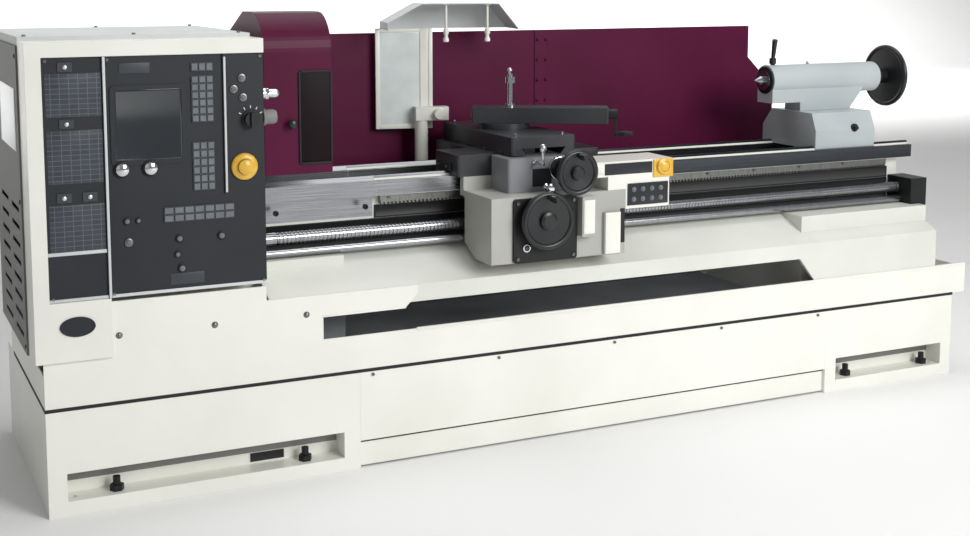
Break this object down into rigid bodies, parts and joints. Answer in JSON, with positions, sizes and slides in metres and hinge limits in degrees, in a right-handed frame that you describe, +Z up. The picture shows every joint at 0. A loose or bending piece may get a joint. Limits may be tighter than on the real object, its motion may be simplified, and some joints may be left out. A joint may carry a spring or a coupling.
{
  "type": "engine lathe",
  "caption": "Gap-bed engine lathe with geared feed, carriage, compound slide, tailstock, guards and control panel.",
  "frame": {"origin": "centre of the machine's outline, on the floor", "axes": "+X along the bed towards the tailstock, +Y to the back of the machine, +Z up"},
  "size_m": [3.165, 1.016, 1.312],
  "materials": {
    "base_paint": "satin off-white enamel",
    "grey_paint": "satin grey enamel",
    "casting_grey": "satin blue-grey enamel on a casting",
    "slate_paint": "dark slate enamel on a casting",
    "guard_paint": "burgundy enamel on sheet",
    "dark_metal": "black enamel",
    "black_plastic": "moulded black",
    "keypad": "membrane film",
    "ground_steel": "ground",
    "chrome": "polished",
    "estop_yellow": "moulded",
    "belt_rubber": "ribbed"
  },
  "bodies": {
    "base": {"left_pedestal": "base_paint", "right_pedestal": "base_paint", "centre_panel": "base_paint", "coolant_tank": "dark_metal", "levelling_screws": "dark_metal", "chip_tray": "base_paint", "skirt_bolts": "chrome", "bed": "base_paint", "gap_bridge": "ground_steel", "rack": "ground_steel", "headstock_housing": "grey_paint", "headstock_cover": "grey_paint", "spindle_bearings": "ground_steel", "control_box": "base_paint", "panel_fascia": "dark_metal", "membrane_keypads": "keypad", "drive_motor": "dark_metal", "feed_gearbox": "grey_paint", "screw_end_bracket": "dark_metal", "splash_guard": "guard_paint", "electrical_cabinet": "grey_paint", "drive_belt": "belt_rubber"},
    "door": {"cabinet_door": "grey_paint"},
    "end_cover": {"end_cover": "grey_paint"},
    "spindle": {"spindle": "ground_steel", "spindle_pulley": "dark_metal", "chuck_body": "ground_steel"},
    "jaw_1": {"chuck_jaw_1": "ground_steel"},
    "jaw_2": {"chuck_jaw_2": "ground_steel"},
    "jaw_3": {"chuck_jaw_3": "ground_steel"},
    "motor_pulley": {"motor_pulley": "dark_metal"},
    "lead_screw": {"lead_screw": "ground_steel"},
    "feed_shaft": {"feed_shaft": "ground_steel"},
    "carriage": {"saddle": "slate_paint", "cross_screw_bracket": "casting_grey", "apron": "casting_grey", "apron_plate": "dark_metal", "carriage_pendant": "base_paint"},
    "carriage_handwheel": {"carriage_handwheel": "black_plastic"},
    "cross_slide": {"cross_slide": "slate_paint"},
    "cross_handwheel": {"cross_handwheel": "black_plastic"},
    "swivel": {"swivel_base": "slate_paint"},
    "top_slide": {"top_slide": "slate_paint", "toolpost_stud": "chrome"},
    "crank": {"top_slide_crank": "chrome"},
    "stud_handle": {"stud_handle": "chrome"},
    "shield": {"chip_shield": "grey_paint", "shield_arm": "slate_paint"},
    "chuck_guard": {"chuck_guard": "guard_paint"},
    "tailstock": {"tailstock_base": "casting_grey", "tailstock_body": "casting_grey"},
    "quill": {"quill": "ground_steel", "dead_centre": "ground_steel"},
    "tail_wheel": {"tailstock_handwheel": "black_plastic"},
    "quill_lock": {"quill_lock_lever": "black_plastic"},
    "panel_estop": {"panel_estop": "estop_yellow"},
    "pendant_estop": {"pendant_estop": "estop_yellow"},
    "selector": {"panel_selector": "black_plastic"},
    "start_button": {"start_button": "chrome"},
    "stop_button": {"stop_button": "chrome"}
  },
  "joints": [
    {"name": "door_hinge", "type": "hinge", "parent": "base", "child": "door", "pos_m": [-1.5185, 0.502, 0.759], "axis": [0, 0, 1], "range_deg": [0, 110]},
    {"name": "end_cover_hinge", "type": "hinge", "parent": "base", "child": "end_cover", "pos_m": [-1.5825, 0.28, 0.815], "axis": [0, 0, -1], "range_deg": [0, 100]},
    {"name": "chuck_guard_hinge", "type": "hinge", "parent": "base", "child": "chuck_guard", "pos_m": [-0.9185, 0.195, 1.177], "axis": [-1, 0, 0], "range_deg": [0, 80]},
    {"name": "spindle_turn", "type": "hinge", "parent": "base", "child": "spindle", "pos_m": [-0.9585, -0.01, 1.035], "axis": [1, 0, 0], "continuous": true},
    {"name": "motor_turn", "type": "hinge", "parent": "base", "child": "motor_pulley", "pos_m": [-1.5285, 0.09, 0.49], "axis": [1, 0, 0], "continuous": true},
    {"name": "jaw_1_slide", "type": "slide", "parent": "spindle", "child": "jaw_1", "axis": [0, 0, 1], "range_m": [-0.01, 0.014]},
    {"name": "jaw_2_slide", "type": "slide", "parent": "spindle", "child": "jaw_2", "axis": [0, -0.866, -0.5], "range_m": [-0.01, 0.014]},
    {"name": "jaw_3_slide", "type": "slide", "parent": "spindle", "child": "jaw_3", "axis": [0, 0.866, -0.5], "range_m": [-0.01, 0.014]},
    {"name": "lead_screw_turn", "type": "hinge", "parent": "base", "child": "lead_screw", "pos_m": [-0.0585, -0.195, 0.655], "axis": [1, 0, 0], "continuous": true},
    {"name": "feed_shaft_turn", "type": "hinge", "parent": "base", "child": "feed_shaft", "pos_m": [-0.0585, -0.21, 0.615], "axis": [1, 0, 0], "continuous": true},
    {"name": "carriage_slide", "type": "slide", "parent": "base", "child": "carriage", "axis": [1, 0, 0], "range_m": [-0.29, 0.22]},
    {"name": "carriage_handwheel_turn", "type": "hinge", "parent": "carriage", "child": "carriage_handwheel", "pos_m": [-0.1425, -0.448, 0.691], "axis": [0, -1, 0], "range_deg": [-440, 336]},
    {"name": "cross_slide_slide", "type": "slide", "parent": "carriage", "child": "cross_slide", "axis": [0, 1, 0], "range_m": [-0.0801, 0.0501]},
    {"name": "cross_handwheel_turn", "type": "hinge", "parent": "carriage", "child": "cross_handwheel", "pos_m": [-0.0525, -0.46, 0.828], "axis": [0, 1, 0], "range_deg": [-5760, 3600]},
    {"name": "swivel_turn", "type": "hinge", "parent": "cross_slide", "child": "swivel", "pos_m": [-0.0785, -0.03, 0.94], "axis": [0, 0, 1], "range_deg": [-30, 40]},
    {"name": "top_slide_slide", "type": "slide", "parent": "swivel", "child": "top_slide", "axis": [-0.8829, 0.4695, 0], "range_m": [-0.0301, 0.0401]},
    {"name": "crank_turn", "type": "hinge", "parent": "top_slide", "child": "crank", "pos_m": [-0.0785, -0.03, 0.964], "axis": [-0.8829, 0.4695, 0], "range_deg": [-2700, 3600]},
    {"name": "stud_handle_turn", "type": "hinge", "parent": "top_slide", "child": "stud_handle", "pos_m": [-0.06084, -0.03939, 1.062], "axis": [0, 0, 1], "range_deg": [-60, 60]},
    {"name": "shield_turn", "type": "hinge", "parent": "carriage", "child": "shield", "pos_m": [-0.2585, 0.215, 0.9], "axis": [0, 0, 1], "range_deg": [-5, 55]},
    {"name": "tailstock_slide", "type": "slide", "parent": "base", "child": "tailstock", "axis": [1, 0, 0], "range_m": [-0.18, 0]},
    {"name": "tail_wheel_turn", "type": "hinge", "parent": "tailstock", "child": "tail_wheel", "pos_m": [1.5015, -0.01, 1.035], "axis": [-1, 0, 0], "range_deg": [0, 7920]},
    {"name": "quill_slide", "type": "slide", "parent": "tailstock", "child": "quill", "axis": [-1, 0, 0], "range_m": [-0.0001, 0.1101]},
    {"name": "quill_lock_turn", "type": "hinge", "parent": "tailstock", "child": "quill_lock", "pos_m": [0.9895, -0.01, 1.08], "axis": [0, 0, 1], "range_deg": [-10, 60]},
    {"name": "panel_estop_push", "type": "slide", "parent": "base", "child": "panel_estop", "axis": [0, 1, 0], "range_m": [0, 0.004], "stiffness_N_per_m": 500, "springref_m": -0.002},
    {"name": "start_push", "type": "slide", "parent": "base", "child": "start_button", "axis": [0, 1, 0], "range_m": [0, 0.004], "stiffness_N_per_m": 500, "springref_m": -0.002},
    {"name": "stop_push", "type": "slide", "parent": "base", "child": "stop_button", "axis": [0, 1, 0], "range_m": [0, 0.004], "stiffness_N_per_m": 500, "springref_m": -0.002},
    {"name": "pendant_estop_push", "type": "slide", "parent": "carriage", "child": "pendant_estop", "axis": [0, 1, 0], "range_m": [0, 0.004], "stiffness_N_per_m": 500, "springref_m": -0.002},
    {"name": "selector_turn", "type": "hinge", "parent": "base", "child": "selector", "pos_m": [-1.0035, -0.372, 1.02], "axis": [0, 1, 0], "range_deg": [-45, 45]}
  ],
  "couplings": [
    {"joint": "motor_turn", "follows": "spindle_turn", "ratio": 1.7692},
    {"joint": "jaw_2_slide", "follows": "jaw_1_slide", "ratio": 1},
    {"joint": "jaw_3_slide", "follows": "jaw_1_slide", "ratio": 1},
    {"joint": "carriage_handwheel_turn", "follows": "carriage_slide", "rad_per_m": 26.316},
    {"joint": "cross_slide_slide", "follows": "cross_handwheel_turn", "m_per_rad": 0.00079577},
    {"joint": "top_slide_slide", "follows": "crank_turn", "m_per_rad": 0.00063662},
    {"joint": "quill_slide", "follows": "tail_wheel_turn", "m_per_rad": 0.00079577}
  ]
}
